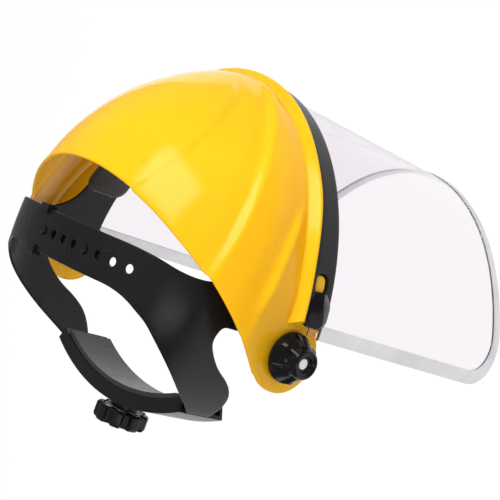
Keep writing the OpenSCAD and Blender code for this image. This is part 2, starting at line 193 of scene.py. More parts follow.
def sweep(name, rings, material):
    """A solid through closed rings of points, with flat ends."""
    n = len(rings[0])
    last = (len(rings) - 1) * n
    faces = ring_faces(len(rings), n)
    faces += [tuple(reversed(range(n))), tuple(range(last, last + n))]
    return new_object(name, [p for ring in rings for p in ring], faces, material)


def lathe(name, profile, place, material, steps=96, bulge=None):
    """A turned solid. profile holds (radius, height) pairs; bulge(angle, r, h) changes a radius."""
    rings = []
    for r, h in profile:
        ring = []
        for k in range(steps):
            a = 360 * k / steps
            rr = bulge(a, r, h) if bulge and r > 0 else r
            ring.append(place(rr * cosd(a), rr * sind(a), h))
        rings.append(ring)
    return sweep(name, rings, material)


ROW_PITCH = 0.866  # height of a triangle with sides of 1


def flat_mesh(loops, pitch):
    """Even triangles over the area inside the first loop and outside the others, and its boundary loops."""
    loops = [resampled(loop, pitch) for loop in loops]
    points, edges = [], []
    for loop in loops:
        start, n = len(points), len(loop)
        points += loop
        edges += [(start + i, start + (i + 1) % n) for i in range(n)]
    rim = list(points)
    low_x, high_x = min(p.x for p in rim), max(p.x for p in rim)
    low_y, high_y = min(p.y for p in rim), max(p.y for p in rim)
    cells = {}
    for p in rim:
        cells.setdefault((int(p.x // pitch), int(p.y // pitch)), []).append(p)
    rows = int((high_y - low_y) / (pitch * ROW_PITCH))
    for j in range(rows + 1):
        y = low_y + j * pitch * ROW_PITCH
        for i in range(int((high_x - low_x) / pitch) + 1):
            p = Vector((low_x + (i + 0.5 * (j % 2)) * pitch, y))
            cx, cy = int(p.x // pitch), int(p.y // pitch)
            near = [q for dx in (-1, 0, 1) for dy in (-1, 0, 1) for q in cells.get((cx + dx, cy + dy), [])]
            if all((p - q).length > 0.6 * pitch for q in near) and inside(p, loops):
                points.append(p)
    made = delaunay_2d_cdt(points, edges, [], 0, 1e-6)
    verts, faces = made[0], made[2]
    keep = [f for f in faces if inside(sum((verts[i] for i in f), Vector((0, 0))) / len(f), loops)]
    return verts, keep


def boundary_loops(faces):
    """The boundary of a triangle mesh as loops of vertex numbers, each with the mesh on its left."""
    edges = {(f[i], f[(i + 1) % len(f)]) for f in faces for i in range(len(f))}
    follow = {a: b for a, b in edges if (b, a) not in edges}
    loops = []
    while follow:
        start, b = follow.popitem()
        loop = [start]
        while b != start:
            loop.append(b)
            b = follow.pop(b)
        loops.append(loop)
    return loops


def plate(name, loops, pitch, place, thickness, edge, material):
    """A bent sheet with rounded edges. place(x, y, off) bends the flat outline; off 0 is the outer face."""
    verts, faces = flat_mesh(loops, pitch)
    turns = [(verts[f[1]] - verts[f[0]]).cross(verts[f[2]] - verts[f[0]]) for f in faces]
    faces = [f if turn > 0 else f[::-1] for f, turn in zip(faces, turns)]
    rims = boundary_loops(faces)
    out_of = {}
    for rim in rims:
        for i, v in enumerate(rim):
            along = verts[rim[(i + 1) % len(rim)]] - verts[rim[i - 1]]
            out_of[v] = Vector((along.y, -along.x)).normalized()
    edge = min(edge, thickness / 2)

    def at(v, shift, off):
        p = verts[v] + out_of.get(v, Vector((0, 0))) * shift
        return place(p.x, p.y, off)

    n = len(verts)
    points = [at(v, -edge, 0) for v in range(n)] + [at(v, -edge, -thickness) for v in range(n)]
    solid = [tuple(f) for f in faces] + [tuple(n + v for v in reversed(f)) for f in faces]
    quarter = [(edge * (sind(a) - 1), edge * (cosd(a) - 1)) for a in (30, 60, 90)]
    steps = quarter + [(s, -thickness - o) for s, o in reversed(quarter)]
    for rim in rims:
        rows = [rim]
        for shift, off in steps:
            rows.append(list(range(len(points), len(points) + len(rim))))
            points += [at(v, shift, off) for v in rim]
        rows.append([n + v for v in rim])
        for a, b in zip(rows, rows[1:]):
            solid += [(a[i], b[i], b[(i + 1) % len(rim)], a[(i + 1) % len(rim)]) for i in range(len(rim))]
    return new_object(name, points, solid, material)


def offset_place(surface, step=0.2):
    """place(x, y, off) for plate(), from surface(x, y): off runs along the surface's own normal."""
    def place(x, y, off):
        p = surface(x, y)
        if off == 0:
            return p
        across = surface(x + step, y) - surface(x - step, y)
        up = surface(x, y + step) - surface(x, y - step)
        return p + across.cross(up).normalized() * off
    return place


# ---- materials ----

def material(name, **values):
    made = bpy.data.materials.new(name)
    made.use_nodes = True
    shader = made.node_tree.nodes["Principled BSDF"]
    for key, value in values.items():
        shader.inputs[key.replace("_", " ")].default_value = value
    return made, made.node_tree, shader


def node(tree, kind, **inputs):
    made = tree.nodes.new(kind)
    for key, value in inputs.items():
        made.inputs[key.replace("_", " ")].default_value = value
    return made


def object_noise(tree, scale, detail=4, stretch=(1, 1, 1)):
    """Noise over the piece's own coordinates, which are metres."""
    place = tree.nodes.new("ShaderNodeTexCoord")
    mapping = tree.nodes.new("ShaderNodeMapping")
    mapping.inputs["Scale"].default_value = stretch
    noise = node(tree, "ShaderNodeTexNoise", Scale=scale, Detail=detail)
    tree.links.new(place.outputs["Object"], mapping.inputs["Vector"])
    tree.links.new(mapping.outputs["Vector"], noise.inputs["Vector"])
    return noise


def vary_colour(tree, shader, source, dark, light, low=0.3, high=0.7):
    ramp = tree.nodes.new("ShaderNodeValToRGB")
    ramp.color_ramp.elements[0].position, ramp.color_ramp.elements[1].position = low, high
    ramp.color_ramp.elements[0].color, ramp.color_ramp.elements[1].color = (*dark, 1), (*light, 1)
    tree.links.new(source.outputs[0], ramp.inputs["Fac"])
    tree.links.new(ramp.outputs["Color"], shader.inputs["Base Color"])


def vary_roughness(tree, shader, source, low, high):
    spread_map = tree.nodes.new("ShaderNodeMapRange")
    spread_map.inputs["To Min"].default_value, spread_map.inputs["To Max"].default_value = low, high
    tree.links.new(source.outputs[0], spread_map.inputs["Value"])
    tree.links.new(spread_map.outputs["Result"], shader.inputs["Roughness"])


def add_bump(tree, shader, source, strength, distance_mm):
    bump = node(tree, "ShaderNodeBump", Strength=strength, Distance=distance_mm * MM)
    tree.links.new(source.outputs[0], bump.inputs["Height"])
    tree.links.new(bump.outputs["Normal"], shader.inputs["Normal"])


def yellow_plastic():
    made, tree, shader = material("yellow_plastic", IOR=1.45)
    shader.inputs["Specular IOR Level"].default_value = 0.36
    shader.inputs["Specular Tint"].default_value = (1.0, 0.9, 0.62, 1)
    shader.inputs["Subsurface Weight"].default_value = 0.3
    shader.inputs["Subsurface Radius"].default_value = (0.006, 0.0026, 0.0004)
    shader.inputs["Subsurface Scale"].default_value = 1
    vary_colour(tree, shader, object_noise(tree, 9), (0.96, 0.465, 0.008), (1.0, 0.53, 0.012))
    vary_roughness(tree, shader, object_noise(tree, 60), 0.12, 0.17)
    add_bump(tree, shader, object_noise(tree, 420, 2), 0.04, 0.06)
    return made


def clear_sheet():
    made, tree, shader = material(
        "clear_sheet", Base_Color=(0.905, 0.87, 0.905, 1), Transmission_Weight=1.0, IOR=1.25)
    vary_roughness(tree, shader, object_noise(tree, 25), 0.02, 0.06)
    return made


def aluminium():
    made, tree, shader = material("aluminium_trim", Metallic=0.92, Anisotropic=0.5)
    fine = object_noise(tree, 1500, 3, (1, 0.15, 0.15))
    broad = object_noise(tree, 45, 5)
    vary_colour(tree, shader, broad, (0.64, 0.64, 0.66), (0.72, 0.72, 0.74), 0.35, 0.65)
    vary_roughness(tree, shader, fine, 0.3, 0.52)
    add_bump(tree, shader, fine, 0.35, 0.05)
    return made


def black_moulding(name, dark, light, rough_low, rough_high, grain_mm):
    made, tree, shader = material(name, IOR=1.5)
    shader.inputs["Specular IOR Level"].default_value = 0.26
    vary_colour(tree, shader, object_noise(tree, 14), dark, light)
    vary_roughness(tree, shader, object_noise(tree, 90), rough_low, rough_high)
    add_bump(tree, shader, object_noise(tree, 2200, 2), 0.12, grain_mm)
    return made


def pad_cloth():
    made, tree, shader = material("sweat_pad", Sheen_Weight=0.35, Sheen_Roughness=0.6)
    place = tree.nodes.new("ShaderNodeTexCoord")
    cells = node(tree, "ShaderNodeTexVoronoi", Scale=650)
    tree.links.new(place.outputs["Object"], cells.inputs["Vector"])
    vary_colour(tree, shader, cells, (0.004, 0.004, 0.005), (0.02, 0.02, 0.022), 0.1, 0.6)
    vary_roughness(tree, shader, object_noise(tree, 200), 0.85, 0.97)
    add_bump(tree, shader, cells, 0.5, 0.25)
    return made


def metal(name, colour, rough_low, rough_high):
    made, tree, shader = material(name, Metallic=1.0)
    turned = object_noise(tree, 700, 3)
    vary_colour(tree, shader, object_noise(tree, 60), [c * 0.85 for c in colour], colour)
    vary_roughness(tree, shader, turned, rough_low, rough_high)
    add_bump(tree, shader, turned, 0.1, 0.02)
    return made


def white_nylon():
    made, tree, shader = material("white_nylon", IOR=1.52)
    shader.inputs["Subsurface Weight"].default_value = 0.15
    shader.inputs["Subsurface Radius"].default_value = (0.002, 0.002, 0.002)
    vary_colour(tree, shader, object_noise(tree, 40), (0.72, 0.70, 0.64), (0.8, 0.79, 0.74))
    vary_roughness(tree, shader, object_noise(tree, 300), 0.35, 0.5)
    return made


YELLOW = yellow_plastic()
CLEAR = clear_sheet()
ALUMINIUM = aluminium()
BLACK = black_moulding("black_harness", (0.006, 0.006, 0.007), (0.011, 0.011, 0.012), 0.26, 0.36, 0.02)
GLOSS = black_moulding("black_gloss", (0.003, 0.003, 0.003), (0.006, 0.006, 0.006), 0.08, 0.16, 0.005)
LINING = black_moulding("grey_lining", (0.028, 0.027, 0.029), (0.045, 0.043, 0.046), 0.28, 0.4, 0.02)
PAD = pad_cloth()
STEEL = metal("steel", (0.72, 0.72, 0.73), 0.2, 0.36)
BRASS = metal("brass", (0.78, 0.57, 0.25), 0.22, 0.36)
NYLON = white_nylon()


# ---- crown: dome, side panels with their ridges, brow, rim lip and ears in one moulding ----

def dome_point(a, z, off):
    r = math.sqrt(max(0.0001, 1 - (z / DOME_H) ** 2))
    return Vector(((DOME_W + off) * r * sind(a), DOME_Y - (DOME_D + off) * r * cosd(a), z))


def visor_point(a, z, off):
    return Vector(((VISOR_W + off) * sind(a), VISOR_C - (VISOR_D + off) * cosd(a), z))


def rear_z(a):
    """Height at which the dome meets the sloping rear plane."""
    c, s = DOME_D * cosd(a), REAR_Y - DOME_Y
    q = REAR_SLOPE ** 2 + (c / DOME_H) ** 2
    root = math.sqrt(max(0, (s * REAR_SLOPE) ** 2 - q * (s * s - c * c)))
    return (s * REAR_SLOPE + math.copysign(root, c)) / q


def ridge_z(a):
    """Height of the main ridge, from the rim at the front up to the rear edge over the ears."""
    soft = 2.5
    line = 0.77 * abs(a) - 1.8
    return BROW_Z + soft * math.log1p(math.exp((line - BROW_Z) / soft))


def low_ridge_z(a):
    """Height of the lower ridge, which leaves the rim beside the temples."""
    return 8 + 23 * sind(min(90, max(0, (abs(a) - 54) * 90 / 36)))


def step_up(z, ridge, width):
    """1 below a ridge, 0 above it, with a hollow at the foot of the step."""
    t = (z - ridge) / width
    hollow = 0.2 * math.exp(-((t - 1.9) / 1.1) ** 2) * smooth(0.4, 1.4, t)
    crest = 0.16 * math.exp(-((t + 0.35) / 0.5) ** 2)
    return 1 - smooth(0, 1, t) - hollow + crest


def crown_rise(a, z):
    """How far the crown's outer face stands over the plain dome."""
    b = abs(a)
    rise = BROW_RISE * (1 - smooth(25, 60, b)) * (1 - smooth(BROW_Z, 45, z))
    main = ridge_z(b)
    grow = smooth(0, 0.75, (z - BROW_Z) / main)
    rise += PANEL_RISE * grow * step_up(z, main, 3.8) * smooth(4, 22, b)
    if b > 52:
        low = low_ridge_z(b)
        rise += 2.2 * smooth(0, 0.8, (z - BROW_Z) / low) * step_up(z, low, 3.4) * smooth(52, 62, b)
    arch = 22 + 0.034 * b * b
    rise -= 1.5 * (1 - smooth(arch - 4, arch + 3, z)) * smooth(main + 6, main + 22, z) * smooth(3, 14, b)
    return rise


def side_lift(a):
    """Rise of the rim lip and of the clamping band towards the ears."""
    return 3.2 * smooth(50, 72, abs(a))


def brow_z(a):
    return BROW_Z + 0.6 * side_lift(a)


CROWN_ROWS = 110


def crown_columns():
    """Azimuths of the crown's columns; the last ones on each side follow the round ear."""
    front = spread(-RIM_A, RIM_A, 190)
    ear = [RIM_A + 0.3]
    for t in spread(-70, 88, 30):
        y = EAR_R * sind(t)
        ear.append(math.degrees(math.acos((DOME_Y - y) / DOME_D)))
    ear = [a for a in ear if a > RIM_A + 0.2]
    return [-a for a in reversed(ear)] + front + ear


def ear_blend(p):
    """Presses the dome onto the ear's flat face near the pivot."""
    near = 1 - smooth(EAR_R - 2, EAR_R + 24, math.hypot(p.y, p.z))
    x = lerp(abs(p.x), EAR_X, near)
    return Vector((math.copysign(x, p.x), p.y, p.z))


def crown_surface(a, z):
    """Outer face of the crown above its rim."""
    y = DOME_Y - DOME_D * cosd(a)
    fade = smooth(EAR_R, EAR_R + 22, math.hypot(y, z))
    return ear_blend(dome_point(a, z, crown_rise(a, z) * fade))


def crown_section(a):
    """Outer points of one column, from the bottom edge up to the rear edge."""
    b = abs(a)
    y = DOME_Y - DOME_D * cosd(b)
    top = rear_z(b)
    if b <= RIM_A + 0.01:
        reach = lerp(LIP_FRONT, LIP_SIDE, smooth(20, 50, b))
        up, brow, start = side_lift(a), brow_z(a), brow_z(a) + 3
        rim = [visor_point(a, SKIRT_LOW, -SKIRT_GAP), visor_point(a, LIP_LOW + up, -SKIRT_GAP),
               visor_point(a, LIP_LOW + up, reach), visor_point(a, LIP_TOP + up, reach),
               crown_surface(a, brow), crown_surface(a, start)]
        low_end = rounded(rim, [0, 0.8, 0.6, 0.9, 0.8, 0], 5)
    else:
        bottom = -math.sqrt(max(0.01, EAR_R ** 2 - y * y)) if y > EAR_FRONT_Y else SKIRT_LOW
        if y > EAR_REAR_Y:
            top = min(top, math.sqrt(max(0.02, EAR_R ** 2 - y * y)))
        start = lerp(bottom, max(top, bottom + 0.1), 0.3)
        low_end = []
        for t in spread(0, 1, 25):
            z = lerp(bottom, start, t)
            low_end.append(Vector((math.copysign(EAR_X, a), y, z)))
    points = list(low_end)
    for z in spread(start, max(top, start + 0.1), CROWN_ROWS)[1:]:
        points.append(crown_surface(a, z))
    return points


def crown():
    """Shell from its outer columns: each is offset inwards, and rounded over at both ends."""
    azimuths = crown_columns()
    columns = [crown_section(a) for a in azimuths]
    n = max(len(c) for c in columns)
    columns = [c if len(c) == n else even_path(c, n) for c in columns]
    m = len(columns)
    normals = []
    for i in range(m):
        row = []
        for j in range(n):
            across = columns[min(m - 1, i + 1)][j] - columns[max(0, i - 1)][j]
            up = columns[i][min(n - 1, j + 1)] - columns[i][max(0, j - 1)]
            row.append(across.cross(up).normalized())
        normals.append(row)
    rings = []
    for a, column, row in zip(azimuths, columns, normals):
        brow = brow_z(a)
        inner = []
        for p, normal in zip(column, row):
            inside_point = p - normal * SHELL_T
            if abs(a) <= RIM_A + 0.01 and p.z < brow + 3:
                base = visor_point(a, p.z, -SKIRT_GAP - SHELL_T)
                inside_point = base.lerp(inside_point, smooth(brow - 4, brow + 3, p.z))
            inner.append(inside_point)
        rings.append(column + half_round(column[-1], inner[-1], column[-1] - column[-2])
                     + inner[::-1] + half_round(inner[0], column[0], column[0] - column[1]))
    obj = sweep("crown", rings, YELLOW)
    cut_round_holes(obj)
    attach(obj, "shield", "yellow_plastic", "crown_shell", "right_crown_ear", "left_crown_ear")


def even_path(points, n):
    """The same path with n points at even distances."""
    lengths = [0]
    for a, b in zip(points, points[1:]):
        lengths.append(lengths[-1] + (b - a).length)
    out, k = [], 0
    for want in spread(0, lengths[-1], n - 1):
        while k < len(points) - 2 and lengths[k + 1] < want:
            k += 1
        gap = max(1e-9, lengths[k + 1] - lengths[k])
        out.append(points[k].lerp(points[k + 1], min(1, max(0, (want - lengths[k]) / gap))))
    return out


def half_round(a, b, along):
    """Points of a half circle from a to b that bulges towards along."""
    centre, half = (a + b) / 2, (a - b) / 2
    out = (along - half * along.dot(half) / half.length_squared).normalized() * half.length
    return [centre + half * cosd(t) + out * sind(t) for t in spread(0, 180, 6)[1:-1]]


def cut_round_holes(obj):
    """Bores the two ears for the spacer sleeves."""
    along_x = (0, math.pi / 2, 0)
    bore_r, bore_length = (SLEEVE_R + 0.05) * MM, 0.3
    bpy.ops.mesh.primitive_cylinder_add(vertices=64, radius=bore_r, depth=bore_length, rotation=along_x)
    cutter = bpy.context.active_object
    cut = obj.modifiers.new("bores", "BOOLEAN")
    cut.object = cutter
    cut.operation = "DIFFERENCE"
    cut.solver = "EXACT"
    bpy.context.view_layer.objects.active = obj
    bpy.ops.object.modifier_apply(modifier=cut.name)
    bpy.data.objects.remove(cutter)


# ---- visor, its binding and the band that clamps it ----

def side_angle(depth, centre):
    return math.degrees(math.acos((centre - VISOR_SIDE_Y) / depth))


def sheet_surface(u, z):
    """Point on the visor: u runs from -1 to 1 from side edge to side edge."""
    t = max(0, (SKIRT_LOW - z) / (SKIRT_LOW - VISOR_LOW))
    a0, a1 = u * side_angle(VISOR_D, VISOR_C), u * side_angle(LOW_D, LOW_C)
    p = Vector((VISOR_W * sind(a0), VISOR_C - VISOR_D * cosd(a0), z))
    q = Vector((LOW_W * sind(a1), LOW_C - LOW_D * cosd(a1), z))
    return p.lerp(q, t)


def sheet_normal(u, z):
    across = sheet_surface(u + 0.002, z) - sheet_surface(u - 0.002, z)
    up = sheet_surface(u, z + 0.2) - sheet_surface(u, z - 0.2)
    return across.cross(up).normalized()


def sheet_place(x, z, off):
    """place() of the visor: x is the distance along the sheet from its middle."""
    u = 2 * x / SHEET_ARC
    return sheet_surface(u, z) + sheet_normal(u, z) * (off + VISOR_T)


def sheet_outline():
    half = SHEET_ARC / 2
    corners = [(-half, VISOR_TOP), (half, VISOR_TOP), (half, VISOR_LOW), (-half, VISOR_LOW)]
    path = [Vector(corners[0]), Vector(corners[1])]
    for x, start in ((half - CORNER_R, 0), (-half + CORNER_R, -90)):
        for a in spread(start, start - 90, 12):
            path.append(Vector((x + CORNER_R * cosd(a), VISOR_LOW + CORNER_R + CORNER_R * sind(a))))
    return path


def visor_sheet():
    obj = plate("visor_sheet_clear", [sheet_outline()], 5, sheet_place, VISOR_T, 0.3, CLEAR)
    attach(obj, "shield", "clear_sheet", "visor_sheet")


def edge_binding():
    """Folded metal strip round the sides and the bottom of the visor."""
    top = BAND_LOW - 0.7
    path = [p for p in resampled(sheet_outline(), 4) if p.y < top - 0.5]
    path = [Vector((SHEET_ARC / 2, top))] + path + [Vector((-SHEET_ARC / 2, top))]
    wide, wall, gap = 6.8, 0.5, 0.06
    inner = VISOR_T / 2 + gap
    outer = inner + wall
    sheet_middle = Vector((0, -90))
    face = [(inner, -wide), (outer - 0.1, -wide - 0.05), (outer + 0.12, -wide + 0.5),
            (outer + 0.35, -wide * 0.72), (outer + 0.42, -wide * 0.45), (outer + 0.3, -1.6),
            (outer + 0.34, -1.1), (outer + 0.12, -0.2)]
    fold = [(outer * cosd(t), 0.1 + 0.9 * sind(t)) for t in spread(0, 180, 10)]
    section = face + fold + [(-x, y) for x, y in reversed(face)]
    section += [(-inner, -0.1), (inner, -0.1)]
    rings = []
    for i, p in enumerate(path):
        along = (path[min(len(path) - 1, i + 1)] - path[max(0, i - 1)]).normalized()
        outward = Vector((-along.y, along.x))
        if outward.dot(p - sheet_middle) < 0:
            outward = -outward
        ring = []
        for off, e in section:
            q = p + outward * e
            ring.append(sheet_place(q.x, q.y, off - VISOR_T / 2))
        rings.append(ring)
    obj = sweep("edge_binding_strip", rings, ALUMINIUM)
    attach(obj, "shield", "aluminium_trim", "edge_binding")


def band_surface(x, z):
    """Outer face of the retaining band; x is roughly the distance along the rim from the front."""
    a = x / BAND_SCALE
    return visor_point(a, z, BAND_OUT)


def slot_box(s, inset, ends):
    """Corners of the band's slot on one side, drawn in by inset at its edges and by ends at its ends."""
    slot, half = SLOT_A * BAND_SCALE, SLOT_HALF - inset
    fore, aft = s * (slot - SLOT_FORE + ends), s * (slot + SLOT_AFT - ends)
    return [(fore, SLOT_Z - half), (aft, SLOT_Z - half), (aft, SLOT_Z + half), (fore, SLOT_Z + half)]


def retaining_band():
    half = BAND_A * BAND_SCALE
    top = [(a * BAND_SCALE, BAND_TOP + side_lift(a)) for a in spread(BAND_A, -BAND_A, 60)]
    radii = [6, 6, 7] + [0] * (len(top) - 2) + [7]
    slots = [rounded(slot_box(s, 0, 0), 4.2, 8, True) for s in (-1, 1)]
    loops = [rounded([(-half, BAND_LOW), (half, BAND_LOW)] + top, radii, 8, True)] + slots
    obj = plate("retaining_band_strip", loops, 3, offset_place(band_surface), BAND_T, 0.6, BLACK)
    attach(obj, "shield", "black_harness", "retaining_band")
    for s, side in ((-1, "right"), (1, "left")):
        crown_tab(s, side)
        band_latch(s, side)


def crown_tab(s, side):
    """Tab of the crown that shows in the band's slot."""
    outline = rounded(slot_box(s, 0.5, 0.6), 3.9, 8, True)
    obj = plate(side + "_crown_tab", [outline], 1.5, offset_place(tab_surface), 3.4, 0.9, YELLOW)
    attach(obj, "shield", "yellow_plastic")


def tab_surface(x, z):
    return visor_point(x / BAND_SCALE, z, BAND_OUT - 1.2)


def band_latch(s, side):
    """Glossy wedge on the end of the band: a crest runs slantwise from the slot to the rounded tip."""
    start, end = SLOT_A + 1.1, BAND_A - 0.1
    rings = []
    for t in spread(0, 1, 24):
        a = s * lerp(start, end, t)
        tip = math.sqrt(max(0.015, 1 - max(0, (t - 0.66) / 0.345) ** 2))
        middle = (BAND_LOW + BAND_TOP + side_lift(a)) / 2
        wide = lerp(SLOT_HALF, 8.3, smooth(0, 0.35, t)) * tip
        high = lerp(3.8, 2.4, t) * smooth(-0.05, 0.05, t) * tip ** 0.5
        crest = lerp(0.35, -0.62, t) * wide
        section = [(-wide, -1.5), (-wide, 0.6), (crest, high), (lerp(crest, wide, 0.55), high * 0.5),
                   (wide, 0.3), (wide, -1.5)]
        path = rounded([Vector(p) for p in section], [0, 0.3, 0.2, 3, 0.3, 0], 3, True)
        rings.append([visor_point(a, middle + p.x, BAND_OUT + p.y) for p in path])
    obj = sweep(side + "_band_latch", rings, GLOSS)
    attach(obj, "shield", "black_gloss")


# ---- harness moulding: forehead band, side plates, crown strap and rear arms ----

ARCH_STEPS = 240


def arch_point(t):
    """Crown strap's arch in X and Z, t in degrees from the right foot to the left one."""
    c, s = cosd(t), max(0, sind(t))
    x = -math.copysign(RING_R * abs(c) ** ARCH_POWER, c)
    return Vector((x, ARCH_FOOT + (STRAP_TOP - ARCH_FOOT) * s ** ARCH_POWER))


ARCH = [arch_point(180 * i / ARCH_STEPS) for i in range(ARCH_STEPS + 1)]
ARCH_LENGTHS = [0]
for arch_a, arch_b in zip(ARCH, ARCH[1:]):
    ARCH_LENGTHS.append(ARCH_LENGTHS[-1] + (arch_b - arch_a).length)


def arch_at(length):
    """Point of the arch at a distance from its foot."""
    length = min(max(length, 0), ARCH_LENGTHS[-1])
    k = next((i for i, v in enumerate(ARCH_LENGTHS) if v >= length), ARCH_STEPS)
    k = max(1, k)
    t = (length - ARCH_LENGTHS[k - 1]) / (ARCH_LENGTHS[k] - ARCH_LENGTHS[k - 1])
    return ARCH[k - 1].lerp(ARCH[k], t)


def arch_length(value, axis):
    """Distance from the foot to where the arch's x (axis 0) or z (axis 1, rising side) passes a value."""
    for k in range(1, ARCH_STEPS + 1):
        a, b = ARCH[k - 1][axis], ARCH[k][axis]
        if b >= value:
            return lerp(ARCH_LENGTHS[k - 1], ARCH_LENGTHS[k], (value - a) / max(1e-9, b - a))
    return ARCH_LENGTHS[-1]


def climb(z):
    """Outline height of a point at height z on the harness's side."""
    return z if z <= ARCH_FOOT else ARCH_FOOT + arch_length(z, 1)


def round_ring(y):
    """Outline distance round the ring, from the front, of a point at depth y."""
    return RING_R * math.acos(max(-1, min(1, -(y - RING_Y) / RING_R)))


def harness_surface(x, s):
    """The right side: x is minus the distance round the ring from the front, s the height up the side."""
    phi = x / RING_R
    side = abs(math.sin(phi))
    y = RING_Y - RING_R * math.cos(phi)
    if s <= ARCH_FOOT:
        return Vector((RING_R * math.sin(phi), y, s))
    p = arch_at(s - ARCH_FOOT)
    return Vector((p.x * side if x < 0 else -p.x * side, y, p.y))


def left_under(x, s):
    """Drops the left strap under the right one as it nears the top."""
    p = harness_surface(x, s)
    if x <= 0 or s <= ARCH_FOOT:
        return p
    drop = (STRAP_T + UNDER_GAP) * smooth(ARCH_FOOT + 25, ARCH_FOOT + 75, s)
    q = harness_surface(x, s + 0.5) - harness_surface(x, s - 0.5)
    inward = Vector((-q.z, 0, q.x)).normalized()
    if inward.dot(Vector((0, 0, 30)) - p) < 0:
        inward = -inward
    return p + inward * drop


def side_outline(strap_end, end_radius):
    """Half of the harness's flat outline from the front middle round one side, as positive distances."""
    def at(y, z, r):
        return (round_ring(y), climb(z), r)
    r = round_ring
    path = [at(-3, 0, 5), at(-3, 32, 4), at(6, 34.5, 5), at(13, 29.5, 12), at(22, 19, 14), at(29, 5, 16),
            at(37, -4, 14), at(47, -7, 9), at(55, -6, 2), at(55, 12, 2), at(50, 19, 12), at(40, 35, 30),
            at(24, 56, 30), at(8, 72.5, 5)]
    path.append((r(STRAP_REAR), climb(84.5), 14))
    path.append((r(STRAP_REAR), strap_end, end_radius))
    path.append((r(STRAP_FRONT), strap_end, end_radius))
    path.append((r(STRAP_FRONT), climb(80), 20))
    path.append((r(-23.5), climb(62), 20))
    path.append((r(-26), climb(42), 16))
    path.append((r(-41), climb(BAND_H - 1), 22))
    return path


def harness_outline():
    right = side_outline(ARCH_FOOT + arch_length(0, 0) + 34, 11)
    left = side_outline(ARCH_FOOT + arch_length(0, 0) + 48, 11)
    path = [(-x, s) for x, s, _ in right] + [(x, s) for x, s, _ in reversed(left)]
    radii = [r for _, _, r in right] + [r for _, _, r in reversed(left)]
    return rounded(path, radii, 7, True)


FIRST_HOLE_X, HOLE_PITCH, HOLE_COUNT, HOLE_R = -67, 11, 8, 2.6
PEG_HOLES = (3, 7)
STRAP_MID = (STRAP_FRONT + STRAP_REAR) / 2


def strap_spot(x, y=STRAP_MID):
    """Outline place of a point of the right strap."""
    return -round_ring(y), ARCH_FOOT + arch_length(x, 0)


def harness():
    holes = []
    for i in range(HOLE_COUNT):
        x, s = strap_spot(FIRST_HOLE_X + i * HOLE_PITCH)
        holes.append(circle_loop(x, s, HOLE_R))
    loops = [harness_outline()] + holes
    obj = plate("harness_moulding", loops, 3.2, offset_place(left_under), STRAP_T, 0.55, BLACK)
    attach(obj, "headgear", "black_harness", "front_band", "right_crown_strap", "left_crown_strap",
           "right_rear_arm", "left_rear_arm")


def strap_stud(name, x, y, radius, low, high, nodes=()):
    """Round stud or disc on the crown strap."""
    px, ps = strap_spot(x, y)
    place = offset_place(harness_surface)
    centre = place(px, ps, 0)
    out = (place(px, ps, 1) - centre).normalized()
    side = Vector((0, 1, 0))
    fore = side.cross(out).normalized()
    edge = 0.35
    profile = [(0, low), (radius, low), (radius, high - edge), (radius - edge * 0.3, high - edge * 0.3),
               (radius - edge, high), (radius * 0.62, high), (radius * 0.5, high - 0.25), (0, high - 0.25)]
    obj = lathe(name, profile, lambda u, v, h: centre + side * u + fore * v + out * h, BLACK, 32)
    attach(obj, "headgear", "black_harness", *nodes)


def strap_details():
    pegs = [FIRST_HOLE_X + i * HOLE_PITCH for i in PEG_HOLES]
    peg_r = HOLE_R - 0.25
    strap_stud("strap_peg_outer", pegs[0], STRAP_MID, peg_r, -STRAP_T - 1, 0.9, ("strap_pegs",))
    strap_stud("strap_peg_inner", pegs[1], STRAP_MID, peg_r, -STRAP_T - 1, 0.9)
    strap_stud("strap_disc_front", -52, STRAP_FRONT + 6.5, 3, -0.5, 0.35)
    strap_stud("strap_disc_rear", -22, STRAP_REAR - 6, 3, -0.5, 0.35)


def guide_clips():
    """Two hooks on the left strap that keep the right strap's edges in line."""
    for name, y, out in (("guide_clip_front", STRAP_FRONT, -1), ("guide_clip_rear", STRAP_REAR, 1)):
        rings = []
        for x in spread(12, 21, 6):
            px, ps = strap_spot(x, y)
            place = offset_place(harness_surface)
            base = place(px, ps, 0)
            up = (place(px, ps, 1) - base).normalized()
            over = Vector((0, out, 0))
            section = [(0.2, -4.2), (2.4, -4.2), (2.4, 1.6), (-3.0, 1.6), (-3.0, 0.25), (0.3, 0.25),
                       (0.3, -2.2)]
            path = rounded([Vector(q) for q in section], 0.5, 3, True)
            rings.append([base + over * q.x + up * q.y for q in path])
        obj = sweep(name, rings, BLACK)
        attach(obj, "headgear", "black_harness")


PAD_OUT, PAD_OVER, PAD_REAR = RING_R - STRAP_T - 0.1, 3, -46
PAD_HEM, PAD_CELLS, PAD_END_R = 3, 9, 9
PAD_COLUMNS, PAD_ROWS = 150, 22
PUFF, CLOTH_FRAMES = 1.5, 15
PAD_HALF = math.degrees(math.acos((RING_Y - PAD_REAR) / PAD_OUT))
PAD_LOW, PAD_TOP = -PAD_OVER, BAND_H + PAD_OVER


def pad_point(a, z, deep):
    """Point of the sweatband, deep millimetres in from its outer face."""
    return Vector(((PAD_OUT - deep) * sind(a), RING_Y - (PAD_OUT - deep) * cosd(a), z))


def pad_corner(a):
    """How much lower the pad's top and higher its bottom are near its rounded ends."""
    left = max(0, (PAD_END_R - (PAD_HALF - abs(a)) * math.radians(1) * PAD_OUT) / PAD_END_R)
    return PAD_END_R * 0.9 * (1 - math.sqrt(max(0, 1 - left * left)))


